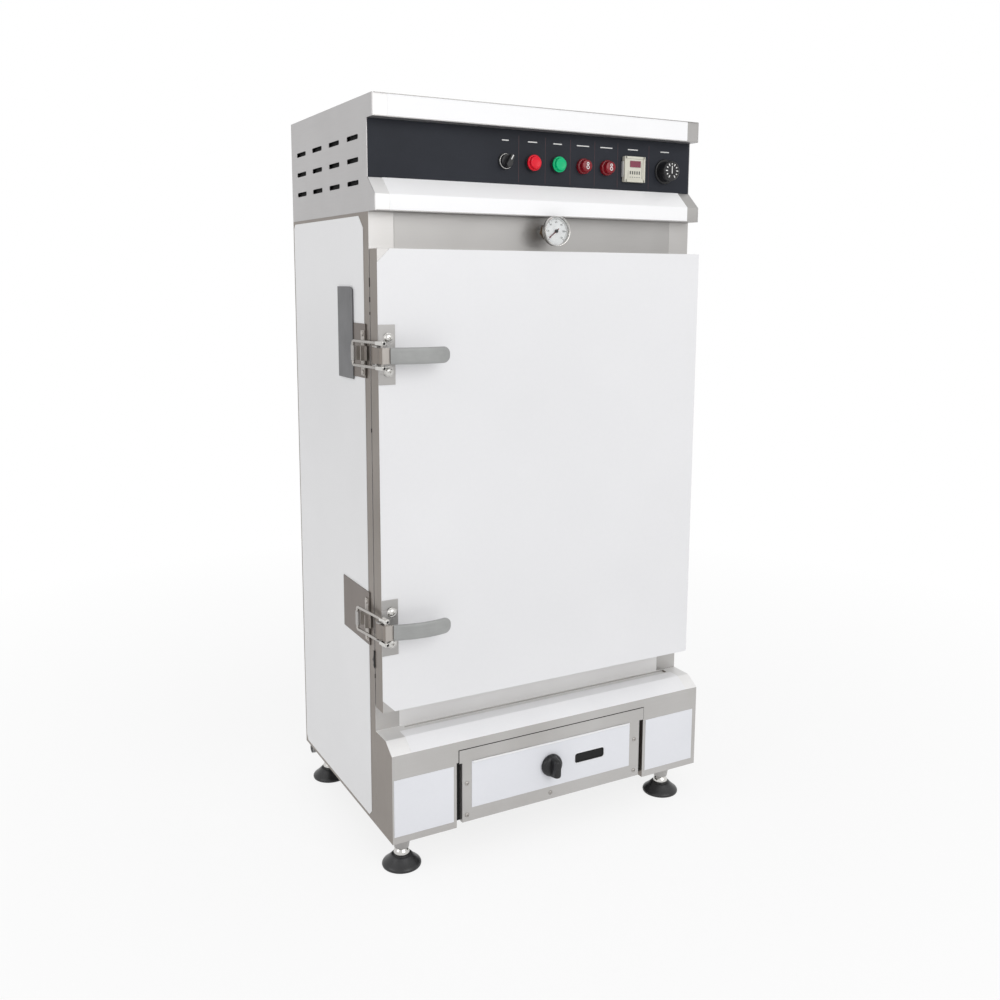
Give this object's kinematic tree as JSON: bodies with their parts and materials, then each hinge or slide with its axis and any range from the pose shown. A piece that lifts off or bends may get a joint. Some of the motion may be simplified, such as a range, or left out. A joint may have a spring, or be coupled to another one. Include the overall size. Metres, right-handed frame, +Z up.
{
  "type": "bun steamer cabinet",
  "caption": "Upright steam cabinet with one insulated door, lever latches, a control box with drip hood on top, a projecting base with burner access and adjustable feet.",
  "frame": {"origin": "On the floor under the middle of the whole object's footprint, fittings at the back and latches included.", "axes": "+Z up, +X to the right as seen by someone facing the door, +Y from the door to the back."},
  "size_m": [0.732, 0.5598, 1.4],
  "materials": {
    "stainless": "satin",
    "stainless_inner": "satin",
    "white_facing": "satin",
    "insulation": "matte",
    "gasket_rubber": "matte",
    "cast_burner": "matte",
    "brass_pipe": "satin",
    "pipe_steel": "satin",
    "panel_black": "satin",
    "black_plastic": "satin",
    "wiring_grey": "matte",
    "red_plastic": "gloss",
    "green_plastic": "gloss",
    "lamp_red": "gloss",
    "timer_cream": "satin",
    "timer_red": "gloss",
    "screw_steel": "polished",
    "dial_white": "satin",
    "needle_black": "satin",
    "clear_glass": "polished",
    "latch_steel": "polished",
    "dark_bar": "satin",
    "grip_grey": "satin",
    "socket_steel": "satin",
    "foot_black": "satin"
  },
  "bodies": {
    "cabinet": {"side_panels": "stainless", "back_panel": "stainless", "front_frame": "stainless", "chamber_walls": "stainless_inner", "cabinet_insulation": "insulation", "tray_rack": "stainless_inner", "water_tank": "stainless_inner", "heating_element": "stainless_inner", "gas_burner": "cast_burner", "gas_line": "brass_pipe", "base_housing": "stainless", "burner_panel": "stainless", "burner_panel_screws": "screw_steel", "cabinet_facings": "white_facing", "hood": "stainless", "top_cover": "stainless", "control_box_sides": "stainless", "control_panel": "panel_black", "wiring_gear": "wiring_grey", "switch_housings": "black_plastic", "pilot_lamps": "lamp_red", "timer_body": "timer_cream", "timer_window": "timer_red", "thermostat_body": "black_plastic", "thermometer_case": "screw_steel", "thermometer_dial": "dial_white", "thermometer_glass": "clear_glass", "latch_keepers": "latch_steel", "latch_side_plates": "latch_steel", "latch_backing_bar": "dark_bar", "hinge_cabinet_leaves": "stainless", "foot_sockets": "socket_steel", "pipe_stubs": "pipe_steel", "drain_pipe": "pipe_steel", "cable_gland": "black_plastic"},
    "door": {"door_shell": "stainless", "door_inner_pan": "stainless_inner", "door_insulation": "insulation", "door_gasket": "gasket_rubber", "door_facing": "white_facing", "latch_door_plates": "latch_steel", "latch_brackets": "latch_steel", "latch_fasteners": "screw_steel", "hinge_door_leaves": "stainless"},
    "upper_lever": {"upper_latch_lever": "latch_steel", "upper_latch_grip": "grip_grey"},
    "upper_bail": {"upper_latch_bail": "latch_steel"},
    "lower_lever": {"lower_latch_lever": "latch_steel", "lower_latch_grip": "grip_grey"},
    "lower_bail": {"lower_latch_bail": "latch_steel"},
    "selector": {"selector_knob": "black_plastic"},
    "stop_button": {"red_button": "red_plastic"},
    "start_button": {"green_button": "green_plastic"},
    "thermostat": {"thermostat_knob": "black_plastic"},
    "gas_knob": {"burner_knob": "black_plastic"},
    "needle": {"thermometer_needle": "needle_black"},
    "front_left_foot_body": {"front_left_foot": "foot_black"},
    "front_right_foot_body": {"front_right_foot": "foot_black"},
    "rear_left_foot_body": {"rear_left_foot": "foot_black"},
    "rear_right_foot_body": {"rear_right_foot": "foot_black"}
  },
  "joints": [
    {"name": "door_hinge", "type": "hinge", "parent": "cabinet", "child": "door", "pos_m": [0.36, -0.18015, 0.71], "axis": [0, 0, 1], "range_deg": [0, 120]},
    {"name": "upper_lever_pivot", "type": "hinge", "parent": "door", "child": "upper_lever", "pos_m": [-0.354, -0.21715, 0.957], "axis": [0, 0, -1], "range_deg": [0, 150]},
    {"name": "upper_bail_pivot", "type": "hinge", "parent": "upper_lever", "child": "upper_bail", "pos_m": [-0.349, -0.23215, 0.957], "axis": [0, 0, -1], "range_deg": [-150, 0]},
    {"name": "lower_lever_pivot", "type": "hinge", "parent": "door", "child": "lower_lever", "pos_m": [-0.354, -0.21715, 0.462], "axis": [0, 0, -1], "range_deg": [0, 150]},
    {"name": "lower_bail_pivot", "type": "hinge", "parent": "lower_lever", "child": "lower_bail", "pos_m": [-0.349, -0.23215, 0.462], "axis": [0, 0, -1], "range_deg": [-150, 0]},
    {"name": "selector_turn", "type": "hinge", "parent": "cabinet", "child": "selector", "pos_m": [-0.075, -0.16815, 1.303], "axis": [0, 1, 0], "range_deg": [0, 90]},
    {"name": "thermostat_turn", "type": "hinge", "parent": "cabinet", "child": "thermostat", "pos_m": [0.29, -0.16815, 1.303], "axis": [0, 1, 0], "range_deg": [0, 270]},
    {"name": "gas_knob_turn", "type": "hinge", "parent": "cabinet", "child": "gas_knob", "pos_m": [-0.0097, -0.24875, 0.141], "axis": [0, -1, 0], "range_deg": [0, 180]},
    {"name": "needle_turn", "type": "hinge", "parent": "cabinet", "child": "needle", "pos_m": [0.008, -0.21515, 1.177], "axis": [0, 1, 0], "range_deg": [0, 270], "stiffness_Nm_per_rad": 0.001},
    {"name": "stop_button_press", "type": "slide", "parent": "cabinet", "child": "stop_button", "axis": [0, 1, 0], "range_m": [0, 0.0025], "stiffness_N_per_m": 600, "springref_m": -0.002},
    {"name": "start_button_press", "type": "slide", "parent": "cabinet", "child": "start_button", "axis": [0, 1, 0], "range_m": [0, 0.0025], "stiffness_N_per_m": 600, "springref_m": -0.002},
    {"name": "front_left_foot_screw", "type": "slide", "parent": "cabinet", "child": "front_left_foot_body", "axis": [0, 0, -1], "range_m": [0, 0.025]},
    {"name": "front_right_foot_screw", "type": "slide", "parent": "cabinet", "child": "front_right_foot_body", "axis": [0, 0, -1], "range_m": [0, 0.025]},
    {"name": "rear_left_foot_screw", "type": "slide", "parent": "cabinet", "child": "rear_left_foot_body", "axis": [0, 0, -1], "range_m": [0, 0.025]},
    {"name": "rear_right_foot_screw", "type": "slide", "parent": "cabinet", "child": "rear_right_foot_body", "axis": [0, 0, -1], "range_m": [0, 0.025]}
  ],
  "couplings": [
    {"joint": "upper_bail_pivot", "follows": "upper_lever_pivot", "ratio": -1},
    {"joint": "lower_bail_pivot", "follows": "lower_lever_pivot", "ratio": -1}
  ]
}
